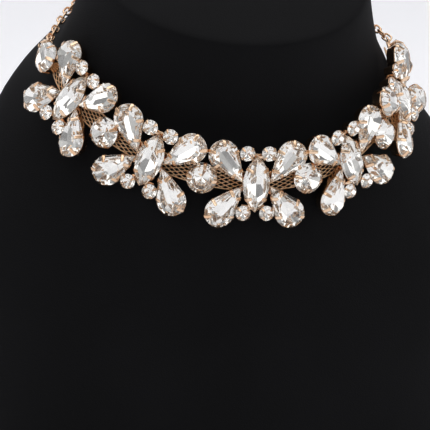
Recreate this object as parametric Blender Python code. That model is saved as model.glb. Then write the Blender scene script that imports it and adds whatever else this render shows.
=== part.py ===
"""Bib necklace of faceted crystal clusters on a woven metal ribbon, shown on a velvet neck bust.

The bust stands on its flat underside, whose middle is the origin. Its front faces -Y.
Each jewel is modelled flat, with x along the necklace, y up the neck and z away from the bust,
and is then set down on the ribbon where the neckline passes.
"""
import math
from collections import namedtuple

import bmesh
import bpy
import numpy as np
from mathutils import Matrix, Vector
from mathutils.bvhtree import BVHTree

MM = 0.001

# Neck bust
TOP_HEIGHT = 196.5 * MM
NECK_HALF_WIDTH = 57.3 * MM
NECK_HALF_DEPTH = 59.8 * MM
BODY_HALF_WIDTH = 111 * MM
BODY_HALF_DEPTH = 86 * MM
BUST_SIDES = 32
ROWS_PER_SECTION = 2

# Neckline: the line on the bust that the necklace follows
NECKLINE_SECTION = 4
NECKLINE_DIP = 0.49  # how far the front hangs towards the section below, as a share of the way to it
NECKLINE_DIP_POWER = 4.3  # higher keeps the dip nearer the front
NECKLINE_SIDE_RISE = 0.16  # how far the sides climb towards the section above, as a share of the way to it
NECKLINE_LEAN = 0.07  # how much more of that way the wearer's right side climbs
NECKLINE_SLIDE = -4.8 * MM  # the necklace sits a little towards the wearer's right

# Clearances
SEAT_GAP = 0.3 * MM
STONE_GAP = 0.35 * MM
RIBBON_GAP = 0.45 * MM
PROBE_HEIGHT = 30 * MM  # where a piece starts before it is set down

# Woven ribbon
RIBBON_HEIGHT = 8 * MM
RIBBON_THICKNESS = 1.2 * MM
RIBBON_STEP = 6 * MM
RIBBON_REACH = 4 * MM  # past the middle of each end stone

# Stones
PEAR_LENGTH = 19.6 * MM
PEAR_RADIUS = 6.0 * MM
PEAR_BULGE = 0.35 * MM
PEAR_HEAD_STEPS = 10
MARQUISE_LENGTH = 22.6 * MM
MARQUISE_WIDTH = 10.4 * MM
MARQUISE_SIDE_POINTS = 6
ROUND_RADIUS = 6.1 * MM
ROUND_SIDES = 16
SMALL_RADIUS = 3.0 * MM
SMALL_SIDES = 10
GIRDLE = 0.4 * MM
CROWN = 2.8 * MM
PAVILION = 3.2 * MM
SMALL_CROWN = 1.9 * MM
TABLE_SHARE = 0.5
STAR_SHARE = 0.76
STAR_RISE = 0.55  # height of the star facets' outer corners, as a share of the crown

# Settings
GIRDLE_LEVEL = 4.2 * MM  # underside of a setting to the girdle of its stone
SMALL_GIRDLE_LEVEL = 4.7 * MM
CUP_TAPER = 1.3 * MM
CUP_INSET = 0.05 * MM
PRONG_WIDTH = 1.2 * MM
PRONG_THICKNESS = 0.5 * MM
PRONG_REACH = 1.4 * MM
PRONG_ROOT = 1.0 * MM  # how far down the cup's wall a prong starts
PRONG_BULGE = 1.0 * MM  # how far a prong stands out at the girdle
SPOKE_WIDTH = 2 * MM
SPOKE_HEIGHT = 1.3 * MM
SPOKE_REACH = 6 * MM  # how far under a pear's cup its spoke goes
# Prongs stand at these corners of an outline, or between two corners where the number is a fraction.
PEAR_PRONGS = (0.9, 3.9, 10.1, 13.1)
MARQUISE_PRONGS = (1.5, 4.5, 7.5, 10.5)
ROUND_PRONGS = (3.5, 7.5, 11.5, 15.5)

# Cluster: two pears each side of the marquise, tips inwards, and a pair of small stones over each of its ends
UPPER_PEAR_TURN = math.radians(52.6)
LOWER_PEAR_TURN = math.radians(-50.5)
PEAR_TIP_GAP = 0.5 * MM  # marquise's widest place to the pears' tips
PEAR_TIP_RISE = 0.9 * MM
SMALL_GAP = 0.55 * MM  # small stone to the pear beside it
UPPER_SMALL_RISE = 1.1 * MM  # past the marquise's end
LOWER_SMALL_RISE = 0.3 * MM
CLUSTER_GAP = 0.7 * MM  # between neighbouring clusters
END_STONE_GAP = 3 * MM  # how much further out an end stone's head sits than a round stone would

# Chain and clasp
LINK_WIRE = 1.1 * MM
LINK_WIDTH = 4.2 * MM
LINK_PITCH = 5.3 * MM
LINK_FUSE = 0.3 * MM  # how far neighbouring links' wires are let into each other
LINK_END_POINTS = 5
CHAIN_RELEASE = 14 * MM  # length of chain that climbs between a loop and the bust
ROUTE_STEPS = 24
WIRE_SIDES = 5
CHAIN_LEVEL = LINK_WIDTH / 2 + RIBBON_GAP
LOOP_HOLE = 1.0 * MM
LOOP_WIRE = 0.9 * MM
LOOP_LET_IN = 0.65 * MM  # how far a loop's wire goes into what carries it
LOOP_SIDES = 10
CLASP_LENGTH = 10 * MM
CLASP_RADIUS = 2.2 * MM
CLASP_SIDES = 10

# Sections of the bust from the base up. height is a share of TOP_HEIGHT and setback of BODY_HALF_DEPTH;
# width and depth go from 0, the neck's, to 1, the body's; tilt lowers the front, in degrees.
Section = namedtuple("Section", "height setback width depth tilt")
SECTIONS = [
    Section(0.000, 0.00, 1.03, 0.20, 0),
    Section(0.204, 0.05, 1.07, 0.32, 12),
    Section(0.509, 0.16, 1.05, 0.95, 34),
    Section(0.712, 0.23, 0.48, 0.77, 27),
    Section(0.793, 0.08, 0.27, 0.16, 27),
    Section(0.853, 0.08, 0.16, -0.04, 29),
    Section(1.000, -0.03, 0.00, 0.12, 21),
]

Frame = namedtuple("Frame", "point along up out")


def material(name, color, metallic=0.0, roughness=0.5, transmission=0.0):
    """One Principled material."""
    made = bpy.data.materials.new(name)
    made.use_nodes = True
    shader = made.node_tree.nodes["Principled BSDF"]
    shader.inputs["Base Color"].default_value = (*color, 1)
    shader.inputs["Metallic"].default_value = metallic
    shader.inputs["Roughness"].default_value = roughness
    shader.inputs["Transmission Weight"].default_value = transmission
    return made


def section_values():
    """Rows of setback, height, half width, half depth and tilt in real units."""
    rows = []
    for s in SECTIONS:
        half_width = NECK_HALF_WIDTH + s.width * (BODY_HALF_WIDTH - NECK_HALF_WIDTH)
        half_depth = NECK_HALF_DEPTH + s.depth * (BODY_HALF_DEPTH - NECK_HALF_DEPTH)
        place_of = (s.setback * BODY_HALF_DEPTH, s.height * TOP_HEIGHT)
        rows.append((*place_of, half_width, half_depth, math.radians(s.tilt)))
    return np.array(rows)


def between_sections(v):
    """Section values at v, which counts sections from the base, on a smooth curve through the table."""
    rows = section_values()
    last = len(rows) - 1
    i = min(max(int(math.floor(v)), 0), last - 1)
    f = v - i
    before = rows[i - 1] if i > 0 else 2 * rows[0] - rows[1]
    after = rows[i + 2] if i + 2 <= last else 2 * rows[last] - rows[last - 1]
    a, b = rows[i], rows[i + 1]
    return 0.5 * (2 * a + (b - before) * f + (2 * before - 5 * a + 4 * b - after) * f**2
                  + (3 * a - before - 3 * b + after) * f**3)


def bust_point(v, turn):
    """Point of the bust's surface: turn is 0 at the front and grows towards +X."""
    setback, height, half_width, half_depth, tilt = between_sections(v)
    forward = half_depth * math.cos(turn)
    sideways = half_width * math.sin(turn)
    return Vector((sideways, setback - forward * math.cos(tilt), height - forward * math.sin(tilt)))


def neckline_row(turn):
    """Where the neckline runs between the sections at this turn round the neck."""
    frontness = (1 + math.cos(turn)) / 2
    dip = NECKLINE_DIP * frontness**NECKLINE_DIP_POWER
    rise = NECKLINE_SIDE_RISE * math.sin(turn) ** 2 * (1.5 - frontness)
    lean = NECKLINE_LEAN * math.sin(turn) * frontness
    return NECKLINE_SECTION - dip + rise - lean


def surface_frame(turn):
    """Frame on the bust at the neckline: along the necklace towards +X, up the neck, and outwards."""
    step = 1e-3
    v = neckline_row(turn)
    round_neck = bust_point(v, turn + step) - bust_point(v, turn - step)
    up_neck = bust_point(v + step, turn) - bust_point(v - step, turn)
    out = round_neck.cross(up_neck).normalized()
    ahead, behind = turn + step, turn - step
    along = bust_point(neckline_row(ahead), ahead) - bust_point(neckline_row(behind), behind)
    along = (along - out * along.dot(out)).normalized()
    return Frame(bust_point(v, turn), along, out.cross(along), out)


def measure_neckline():
    """Turns round the neck, and the length of the neckline from the front to each of them."""
    turns = np.linspace(-math.pi, math.pi, 361)
    points = []
    for turn in turns:
        frame = surface_frame(turn)
        points.append(frame.point + frame.out * (RIBBON_GAP + RIBBON_THICKNESS / 2))
    steps = [(b - a).length for a, b in zip(points, points[1:])]
    lengths = np.concatenate([[0], np.cumsum(steps)])
    return turns, lengths - lengths[-1] / 2


NECKLINE_TURNS, NECKLINE_LENGTHS = measure_neckline()
NECKLINE_TOTAL = 2 * NECKLINE_LENGTHS[-1]


def frame_at(distance):
    """Frame at a distance along the necklace from its middle stone, towards +X."""
    place = distance + NECKLINE_SLIDE
    half = NECKLINE_TOTAL / 2
    place = (place + half) % NECKLINE_TOTAL - half
    return surface_frame(float(np.interp(place, NECKLINE_LENGTHS, NECKLINE_TURNS)))


def matrix_of(frame, height):
    """World matrix of a piece whose underside is at a height over the bust."""
    turned = Matrix((frame.along, frame.up, frame.out)).transposed().to_4x4()
    return Matrix.Translation(frame.point + frame.out * height) @ turned


def closed(bm):
    """Turns every face outwards and returns the mesh's data."""
    bmesh.ops.recalc_face_normals(bm, faces=bm.faces)
    mesh = bpy.data.meshes.new("shape")
    bm.to_mesh(mesh)
    bm.free()
    return mesh


def add_ring(bm, points):
    return [bm.verts.new(p) for p in points]


def bridge(bm, lower, upper):
    """Faces between two rings of as many corners."""
    count = len(lower)
    for i in range(count):
        j = (i + 1) % count
        bm.faces.new((lower[i], lower[j], upper[j], upper[i]))


def flat(points, height):
    return [(x, y, height) for x, y in points]


def inset(points, distance):
    """Outline moved inwards by a distance, counter-clockwise as given."""
    moved = []
    for before, here, after in zip(points[-1:] + points[:-1], points, points[1:] + points[:1]):
        a = (Vector(here) - Vector(before)).normalized()
        b = (Vector(after) - Vector(here)).normalized()
        inward = (Vector((-a.y, a.x)) + Vector((-b.y, b.x))).normalized()
        reach = distance / max(inward.dot(Vector((-a.y, a.x))), 0.5)
        moved.append(tuple(Vector(here) + inward * reach))
    return moved


def pear_outline():
    """Pear from its tip at the origin to its round head along +x."""
    head = PEAR_LENGTH - PEAR_RADIUS
    half_angle = math.asin(PEAR_RADIUS / head)
    arc_end = math.pi / 2 + half_angle
    arc = [-arc_end + 2 * arc_end * i / PEAR_HEAD_STEPS for i in range(PEAR_HEAD_STEPS + 1)]
    points = [(0.0, 0.0)]
    side = 0.5 * head * math.cos(half_angle)
    normal = Vector((-math.sin(half_angle), math.cos(half_angle)))
    middle = Vector((math.cos(half_angle), math.sin(half_angle))) * side + normal * PEAR_BULGE
    points.append((middle.x, -middle.y))
    points += [(head + PEAR_RADIUS * math.cos(a), PEAR_RADIUS * math.sin(a)) for a in arc]
    points.append((middle.x, middle.y))
    return points


def marquise_outline():
    """Two arcs that meet in a point above and below."""
    half_length, half_width = MARQUISE_LENGTH / 2, MARQUISE_WIDTH / 2
    radius = (half_length**2 + half_width**2) / (2 * half_width)
    sweep = math.asin(half_length / radius)
    right = [(radius * math.cos(a) - radius + half_width, radius * math.sin(a))
             for a in (-sweep + 2 * sweep * i / MARQUISE_SIDE_POINTS for i in range(MARQUISE_SIDE_POINTS))]
    return right + [(-x, -y) for x, y in right]


def round_outline(radius, count):
    return [(radius * math.cos(2 * math.pi * i / count), radius * math.sin(2 * math.pi * i / count))
            for i in range(count)]


def crown(bm, girdle, outline, middle, base, height):
    """Table, star, kite and girdle facets on a ring of girdle corners, an even number of them."""
    pairs = len(girdle) // 2

    def at(point, share, level):
        return (middle[0] + (point[0] - middle[0]) * share, middle[1] + (point[1] - middle[1]) * share, level)

    table = [bm.verts.new(at(outline[2 * k], TABLE_SHARE, base + height)) for k in range(pairs)]
    star = [bm.verts.new(at(outline[2 * k + 1], STAR_SHARE, base + height * STAR_RISE)) for k in range(pairs)]
    bm.faces.new(table)
    for k in range(pairs):
        after = (k + 1) % pairs
        bm.faces.new((table[k], star[k], table[after]))
        bm.faces.new((girdle[2 * k], star[k], table[k]))
        bm.faces.new((girdle[2 * k], table[k], star[k - 1]))
        bm.faces.new((girdle[2 * k], girdle[2 * k + 1], star[k]))
        bm.faces.new((girdle[2 * k + 1], girdle[2 * after], star[k]))


def stone_mesh(outline, middle):
    """Cut stone whose pavilion comes to a point, with its setting's underside at z = 0."""
    bm = bmesh.new()
    lower = add_ring(bm, flat(outline, GIRDLE_LEVEL))
    upper = add_ring(bm, flat(outline, GIRDLE_LEVEL + GIRDLE))
    culet = bm.verts.new((*middle, GIRDLE_LEVEL - PAVILION))
    for i, corner in enumerate(lower):
        bm.faces.new((culet, lower[(i + 1) % len(lower)], corner))
    bridge(bm, lower, upper)
    crown(bm, upper, outline, middle, GIRDLE_LEVEL + GIRDLE, CROWN)
    return closed(bm)


def cup_shell(outline, middle):
    """Tapered cup with a hollow that follows the stone's pavilion."""
    bm = bmesh.new()
    foot = add_ring(bm, flat(inset(outline, CUP_TAPER), 0))
    rim = add_ring(bm, flat(inset(outline, CUP_INSET), GIRDLE_LEVEL - STONE_GAP))
    hollow = bm.verts.new((*middle, GIRDLE_LEVEL - PAVILION - STONE_GAP))
    bm.faces.new(foot)
    bridge(bm, foot, rim)
    for i, corner in enumerate(rim):
        bm.faces.new((corner, rim[(i + 1) % len(rim)], hollow))
    return closed(bm)


def prong_shell(point, outward):
    """Strip that climbs from the cup's wall past the girdle and folds over the crown."""
    out = Vector(outward).normalized()
    side = Vector((-out.y, out.x)) * PRONG_WIDTH / 2
    thick = PRONG_THICKNESS
    top = GIRDLE_LEVEL + GIRDLE
    climb = CROWN * STAR_RISE / ((1 - STAR_SHARE) * MARQUISE_WIDTH / 2)
    over = min(PRONG_REACH * climb, CROWN * STAR_RISE)
    edge = GIRDLE_LEVEL - STONE_GAP
    wall = CUP_INSET + (CUP_TAPER - CUP_INSET) * PRONG_ROOT / edge
    stations = [
        (-wall, edge - PRONG_ROOT, thick),
        (PRONG_BULGE, top - GIRDLE / 4, thick),
        (-PRONG_REACH, top + over + STONE_GAP + thick, thick * 0.8),
    ]
    folds = [(1, 0), (1, 0), (0.6, 0.8)]
    bm = bmesh.new()
    rings = []
    for (reach, height, width), (turn_out, turn_up) in zip(stations, folds):
        ring = []
        for across, face in ((-1, 1), (1, 1), (1, -1), (-1, -1)):
            flat_place = Vector(point) + out * (reach + face * turn_out * width / 2) + side * across
            ring.append((flat_place.x, flat_place.y, height + face * turn_up * width / 2))
        rings.append(add_ring(bm, ring))
    bm.faces.new(rings[0])
    bm.faces.new(rings[-1])
    for lower, upper in zip(rings, rings[1:]):
        bridge(bm, lower, upper)
    return closed(bm)


def box_shell(start, end, width, height):
    """Flat bar between two points of the underside."""
    a, b = Vector(start), Vector(end)
    side = Vector((a.y - b.y, b.x - a.x)).normalized() * width / 2
    corners = [tuple(p) for p in (a - side, b - side, b + side, a + side)]
    bm = bmesh.new()
    lower = add_ring(bm, flat(corners, 0))
    upper = add_ring(bm, flat(corners, height))
    bm.faces.new(lower)
    bm.faces.new(upper)
    bridge(bm, lower, upper)
    return closed(bm)


def small_stone_shell():
    """Small round stone and its plain cup, in one."""
    bm = bmesh.new()
    outline = round_outline(SMALL_RADIUS, SMALL_SIDES)
    foot = add_ring(bm, flat(inset(outline, CUP_TAPER / 2), 0))
    rim = add_ring(bm, flat(outline, SMALL_GIRDLE_LEVEL))
    bm.faces.new(foot)
    bridge(bm, foot, rim)
    crown(bm, rim, outline, (0, 0), SMALL_GIRDLE_LEVEL, SMALL_CROWN)
    return closed(bm)


def moved(mesh, matrix):
    """Copy of a mesh, moved."""
    copy = mesh.copy()
    copy.transform(matrix)
    return copy


def fuse(shells):
    """One closed body from shells that run into each other."""
    objects = []
    others = bpy.data.collections.new("operands")
    for shell in shells:
        item = bpy.data.objects.new("operand", shell)
        bpy.context.scene.collection.objects.link(item)
        objects.append(item)
        if item is not objects[0]:
            others.objects.link(item)
    union = objects[0].modifiers.new("union", "BOOLEAN")
    union.operation = "UNION"
    union.solver = "EXACT"
    union.operand_type = "COLLECTION"
    union.collection = others
    bpy.context.view_layer.update()
    evaluated = objects[0].evaluated_get(bpy.context.evaluated_depsgraph_get())
    fused = bpy.data.meshes.new_from_object(evaluated)
    for item in objects:
        bpy.data.objects.remove(item)
    bpy.data.collections.remove(others)
    return fused


def place(name, mesh, matrix, finish):
    """Puts a piece into the scene under its name."""
    item = bpy.data.objects.new(name, mesh)
    item.matrix_world = matrix
    if not mesh.materials:
        mesh.materials.append(finish)
    bpy.context.scene.collection.objects.link(item)
    return item


def prongs_round(outline, places):
    """Prongs at the given corners of an outline; a place between corners is a fraction."""
    shells = []
    count = len(outline)
    for spot in places:
        i = int(math.floor(spot)) % count
        a, b = Vector(outline[i]), Vector(outline[(i + 1) % count])
        edge = b - a
        point = a + edge * (spot - math.floor(spot))
        shells.append(prong_shell(tuple(point), (edge.y, -edge.x)))
    return shells


def pear_parts():
    """Pear stone's outline, the middle of its head, and its cup with prongs."""
    outline = pear_outline()
    middle = (PEAR_LENGTH - PEAR_RADIUS, 0)
    cup = [cup_shell(outline, middle)] + prongs_round(outline, PEAR_PRONGS)
    return outline, middle, cup


def pear_tip(rise):
    """Tip of the right upper or lower pear."""
    return Vector((MARQUISE_WIDTH / 2 + PEAR_TIP_GAP, rise * PEAR_TIP_RISE, 0))


def pear_head(turn, rise):
    """Middle of the right upper or lower pear's head."""
    return pear_tip(rise) + Vector((math.cos(turn), math.sin(turn), 0)) * (PEAR_LENGTH - PEAR_RADIUS)


def pear_places():
    """Matrices of a cluster's four pears, from tip to head."""
    places = []
    for turn, rise in ((UPPER_PEAR_TURN, 1), (LOWER_PEAR_TURN, -1)):
        for way in (-1, 1):
            tip = pear_tip(rise)
            facing = turn if way > 0 else math.pi - turn
            places.append(Matrix.Translation((way * tip.x, tip.y, 0)) @ Matrix.Rotation(facing, 4, "Z"))
    return places


def small_places():
    """Middles of the upper and lower right small stones."""
    places = []
    for turn, rise, past in ((UPPER_PEAR_TURN, 1, UPPER_SMALL_RISE), (LOWER_PEAR_TURN, -1, LOWER_SMALL_RISE)):
        across = pear_head(turn, rise).x - PEAR_RADIUS - SMALL_RADIUS - SMALL_GAP
        places.append(Vector((across, rise * (MARQUISE_LENGTH / 2 + past), 0)))
    return places


def cluster_pitch():
    """Distance along the ribbon from one cluster's middle to the next."""
    widest = max(pear_head(UPPER_PEAR_TURN, 1).x, pear_head(LOWER_PEAR_TURN, -1).x)
    return 2 * (widest + PEAR_RADIUS) + CLUSTER_GAP


def end_stone_distance():
    """Last cluster's middle to the middle of the end stone."""
    return cluster_pitch() / 2 + END_STONE_GAP + PEAR_LENGTH / 2 - PEAR_RADIUS


def cluster_setting(pear_cup):
    """Four pear cups, the marquise's cup and four small stones in their cups, soldered together."""
    shells = []
    marquise = marquise_outline()
    shells.append(cup_shell(marquise, (0, 0)))
    shells += prongs_round(marquise, MARQUISE_PRONGS)
    inner = MARQUISE_WIDTH / 2 - CUP_TAPER - SPOKE_HEIGHT / 2
    for matrix in pear_places():
        shells += [moved(part, matrix) for part in pear_cup]
        tip = matrix.translation
        start = (math.copysign(inner, tip.x), tip.y)
        end = matrix @ Vector((SPOKE_REACH, 0, 0))
        shells.append(box_shell(start, (end.x, end.y), SPOKE_WIDTH, SPOKE_HEIGHT))
    small = small_stone_shell()
    for spot in small_places():
        for way in (-1, 1):
            shells.append(moved(small, Matrix.Translation((way * spot.x, spot.y, 0))))
        level = math.copysign(MARQUISE_LENGTH / 2 - CUP_TAPER, spot.y)
        shells.append(box_shell((-spot.x, level), (spot.x, level), SPOKE_WIDTH, SPOKE_HEIGHT))
    return fuse(shells)


def loop_shell(middle):
    """Flat wire loop for the chain, open along z."""
    bm = bmesh.new()
    radius = LOOP_HOLE + LOOP_WIRE / 2
    rings = []
    for i in range(LOOP_SIDES):
        turn = 2 * math.pi * i / LOOP_SIDES
        ring = []
        for j in range(WIRE_SIDES):
            bend = 2 * math.pi * j / WIRE_SIDES
            reach = radius - LOOP_WIRE / 2 * math.cos(bend)
            ring.append((middle[0] + reach * math.cos(turn), middle[1] + reach * math.sin(turn),
                         middle[2] + LOOP_WIRE / 2 * math.sin(bend)))
        rings.append(add_ring(bm, ring))
    for i, ring in enumerate(rings):
        bridge(bm, ring, rings[(i + 1) % LOOP_SIDES])
    return closed(bm)


def link_mesh(pitch, upright, matrix):
    """One oval chain link, flat on the bust or upright."""
    bm = bmesh.new()
    radius = (LINK_WIDTH - LINK_WIRE) / 2
    half = (pitch + LINK_WIRE - LINK_FUSE) / 2 - radius
    line = []
    for end in (1, -1):
        for i in range(LINK_END_POINTS):
            turn = math.pi * (i / (LINK_END_POINTS - 1) - 0.5)
            line.append((end * (half + radius * math.cos(turn)), end * radius * math.sin(turn),
                         Vector((end * math.cos(turn), end * math.sin(turn)))))
    rings = []
    for x, y, out in line:
        ring = []
        for j in range(WIRE_SIDES):
            bend = 2 * math.pi * j / WIRE_SIDES
            reach = -LINK_WIRE / 2 * math.cos(bend)
            across = LINK_WIRE / 2 * math.sin(bend)
            spot = (x + out.x * reach, y + out.y * reach)
            ring.append((spot[0], across, spot[1]) if upright else (spot[0], spot[1], across))
        rings.append(add_ring(bm, ring))
    for i, ring in enumerate(rings):
        bridge(bm, ring, rings[(i + 1) % len(rings)])
    mesh = closed(bm)
    mesh.transform(matrix)
    return mesh


def bust_mesh():
    """Lofted bust with a flat base and a flat slanted top."""
    bm = bmesh.new()
    rows = (len(SECTIONS) - 1) * ROWS_PER_SECTION
    rings = []
    for row in range(rows + 1):
        v = row / ROWS_PER_SECTION
        rings.append(add_ring(bm, [bust_point(v, 2 * math.pi * i / BUST_SIDES) for i in range(BUST_SIDES)]))
    bm.faces.new(rings[0])
    bm.faces.new(rings[-1])
    for lower, upper in zip(rings, rings[1:]):
        bridge(bm, lower, upper)
    return closed(bm)


def tree_of(mesh, matrix=None):
    """Tree and corner points of a mesh, for finding how far apart two pieces are."""
    corners = [matrix @ v.co if matrix else v.co.copy() for v in mesh.vertices]
    return BVHTree.FromPolygons(corners, [tuple(p.vertices) for p in mesh.polygons]), corners


def highest_under(tree, frame, half_length, half_width):
    """Highest point of the bust under a small flat patch, measured along the frame's out."""
    above = PROBE_HEIGHT
    heights = []
    for shift in (-half_length, -half_length / 2, 0, half_length / 2, half_length):
        for side in (-half_width, -half_width / 2, 0, half_width / 2, half_width):
            start = frame.point + frame.along * shift + frame.up * side + frame.out * above
            distance = tree.ray_cast(start, -frame.out)[3]
            if distance is not None:
                heights.append(above - distance)
    return max(heights)


def ribbon_mesh(reach, bust):
    """Band that follows the neckline, its back clear of the bust."""
    tree, _ = bust
    count = 2 * math.ceil(reach / RIBBON_STEP)
    bm = bmesh.new()
    rings = []
    for i in range(count + 1):
        frame = frame_at(-reach + 2 * reach * i / count)
        level = highest_under(tree, frame, RIBBON_STEP / 2, RIBBON_HEIGHT / 2) + RIBBON_GAP
        corners = ((-1, level), (1, level), (1, level + RIBBON_THICKNESS), (-1, level + RIBBON_THICKNESS))
        rings.append(add_ring(bm, [frame.point + frame.up * (side * RIBBON_HEIGHT / 2) + frame.out * height
                                   for side, height in corners]))
    bm.faces.new(rings[0])
    bm.faces.new(rings[-1])
    for a, b in zip(rings, rings[1:]):
        bridge(bm, a, b)
    return closed(bm)


def seat_height(mesh, frame, bases):
    """Height over the bust at which a piece comes to rest on the bases."""
    start = PROBE_HEIGHT
    matrix = matrix_of(frame, start)
    piece, corners = tree_of(mesh, matrix)
    drop = start
    for tree, base_corners in bases:
        for corner in corners:
            distance = tree.ray_cast(corner, -frame.out)[3]
            if distance is not None:
                drop = min(drop, distance)
        for corner in base_corners:
            distance = piece.ray_cast(corner, frame.out)[3]
            if distance is not None:
                drop = min(drop, distance)
    return start - drop + SEAT_GAP


def chain_mesh(start, end, route):
    """Links from one loop to the other along a route, let into each other where they meet."""
    points = [start, *route, end]
    lengths = [0.0]
    for a, b in zip(points, points[1:]):
        lengths.append(lengths[-1] + (b - a).length)
    count = 2 * round((lengths[-1] / LINK_PITCH - 1) / 2) + 1
    spots = []
    for i in range(count + 1):
        reached = lengths[-1] * i / count
        spots.append(Vector([float(np.interp(reached, lengths, [p[k] for p in points])) for k in range(3)]))
    shells = []
    for i, (a, b) in enumerate(zip(spots, spots[1:])):
        along = (b - a).normalized()
        out = outward_at((a + b) / 2)
        out = (out - along * out.dot(along)).normalized()
        frame = Frame((a + b) / 2, along, out.cross(along), out)
        shells.append(link_mesh((b - a).length, i % 2 == 0, matrix_of(frame, 0)))
    return fuse(shells)


def outward_at(point):
    """Direction away from the bust at a point near the neckline."""
    guess = math.atan2(point.x, -point.y)
    best = min((guess + math.radians(d) for d in range(-30, 31, 2)),
               key=lambda turn: (surface_frame(turn).point - point).length)
    return surface_frame(best).out


def clasp_mesh():
    """Plain barrel with a loop at each end, along x."""
    bm = bmesh.new()
    rings = []
    for x, radius in ((-0.5, 0.45), (-0.3, 1.0), (0.3, 1.0), (0.5, 0.45)):
        ring = round_outline(radius * CLASP_RADIUS, CLASP_SIDES)
        rings.append(add_ring(bm, [(x * CLASP_LENGTH, y, z) for y, z in ring]))
    bm.faces.new(rings[0])
    bm.faces.new(rings[-1])
    for a, b in zip(rings, rings[1:]):
        bridge(bm, a, b)
    barrel = closed(bm)
    return fuse([barrel] + [loop_shell((way * clasp_loop_distance(), 0, 0)) for way in (-1, 1)])


def clasp_loop_distance():
    """Clasp's middle to a loop's middle."""
    return CLASP_LENGTH / 2 + loop_stand_off()


def loop_stand_off():
    """Edge of the piece that carries a loop to the loop's middle."""
    return LOOP_HOLE + LOOP_WIRE - LOOP_LET_IN


def link_hold():
    """Loop's middle to the place where the first link's reach is counted from."""
    return LOOP_HOLE - SEAT_GAP - LINK_FUSE / 2


def build():
    for item in list(bpy.data.objects):
        bpy.data.objects.remove(item)
    gold = material("rose gold plate", (0.80, 0.52, 0.30), metallic=1, roughness=0.25)
    crystal = material("foiled crystal", (0.93, 0.93, 0.95), roughness=0.03, transmission=0.6)
    velvet = material("black velvet", (0.008, 0.008, 0.010), roughness=0.9)

    bust_shape = bust_mesh()
    place("neck_bust", bust_shape, Matrix.Identity(4), velvet)
    bust = tree_of(bust_shape)

    pitch = cluster_pitch()
    end_distance = 2 * pitch + end_stone_distance()
    ribbon_shape = ribbon_mesh(end_distance + RIBBON_REACH, bust)
    place("mesh_ribbon", ribbon_shape, Matrix.Identity(4), gold)
    bases = [bust, tree_of(ribbon_shape)]

    pear, pear_middle, pear_cup = pear_parts()
    pear_stone = stone_mesh(pear, pear_middle)
    marquise_stone = stone_mesh(marquise_outline(), (0, 0))
    round_shape = round_outline(ROUND_RADIUS, ROUND_SIDES)
    round_stone = stone_mesh(round_shape, (0, 0))
    round_prongs = prongs_round(round_shape, ROUND_PRONGS)
    round_setting = fuse([cup_shell(round_shape, (0, 0)), *round_prongs])
    cluster = cluster_setting(pear_cup)

    for name, step in (("far_left", -2), ("left", -1), ("center", 0), ("right", 1), ("far_right", 2)):
        frame = frame_at(step * pitch)
        matrix = matrix_of(frame, seat_height(cluster, frame, bases))
        place(f"cluster_setting_{name}", cluster, matrix, gold)
        place(f"marquise_stone_{name}", marquise_stone, matrix, crystal)
        for spot, local in zip(("upper_left", "upper_right", "lower_left", "lower_right"), pear_places()):
            place(f"pear_stone_{name}_{spot}", pear_stone, matrix @ local, crystal)

    for name, step in (("far_left", -1.5), ("left", -0.5), ("right", 0.5), ("far_right", 1.5)):
        frame = frame_at(step * pitch)
        matrix = matrix_of(frame, seat_height(round_setting, frame, bases))
        place(f"round_setting_{name}", round_setting, matrix, gold)
        place(f"round_stone_{name}", round_stone, matrix, crystal)

    clasp_frame = frame_at(NECKLINE_TOTAL / 2)
    clasp = clasp_mesh()
    clasp_matrix = matrix_of(clasp_frame, max(seat_height(clasp, clasp_frame, bases), CHAIN_LEVEL))
    place("clasp", clasp, clasp_matrix, gold)

    for name, way in (("left", -1), ("right", 1)):
        centred = Matrix.Translation((-PEAR_LENGTH / 2, 0, 0))
        turned = Matrix.Rotation(math.pi if way > 0 else 0, 4, "Z") @ centred
        frame = frame_at(way * end_distance)
        loop_spot = Vector((-loop_stand_off(), 0, CHAIN_LEVEL / 2))
        stem = box_shell((0, 0), (SPOKE_REACH, 0), SPOKE_WIDTH, SPOKE_HEIGHT)
        shells = [part.copy() for part in pear_cup]
        setting = moved(fuse([*shells, loop_shell(loop_spot), stem]), turned)
        matrix = matrix_of(frame, seat_height(setting, frame, bases))
        place(f"end_setting_{name}", setting, matrix, gold)
        place(f"end_stone_{name}", pear_stone, matrix @ turned, crystal)
        hold = matrix @ turned @ (loop_spot - Vector((link_hold(), 0, 0)))
        clasp_hold = clasp_matrix @ Vector((-way * (clasp_loop_distance() + link_hold()), 0, 0))
        chain_start = end_distance + PEAR_LENGTH / 2 + CHAIN_RELEASE
        chain_end = NECKLINE_TOTAL / 2 - CLASP_LENGTH / 2 - CHAIN_RELEASE
        route = []
        for i in range(ROUTE_STEPS + 1):
            spot = frame_at(way * (chain_start + (chain_end - chain_start) * i / ROUTE_STEPS))
            route.append(spot.point + spot.out * CHAIN_LEVEL)
        place(f"chain_{name}", chain_mesh(hold, clasp_hold, route), Matrix.Identity(4), gold)


build()
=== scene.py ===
"""Finishes the crystal bib necklace and its velvet neck bust around the fixed frame.

Stones, cups, claws, loops and links are modelled once, in millimetres, with z away from the bust. Each copy
is then set where its solid in the frame shows, and its mesh is in metres from there on.
"""

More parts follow.
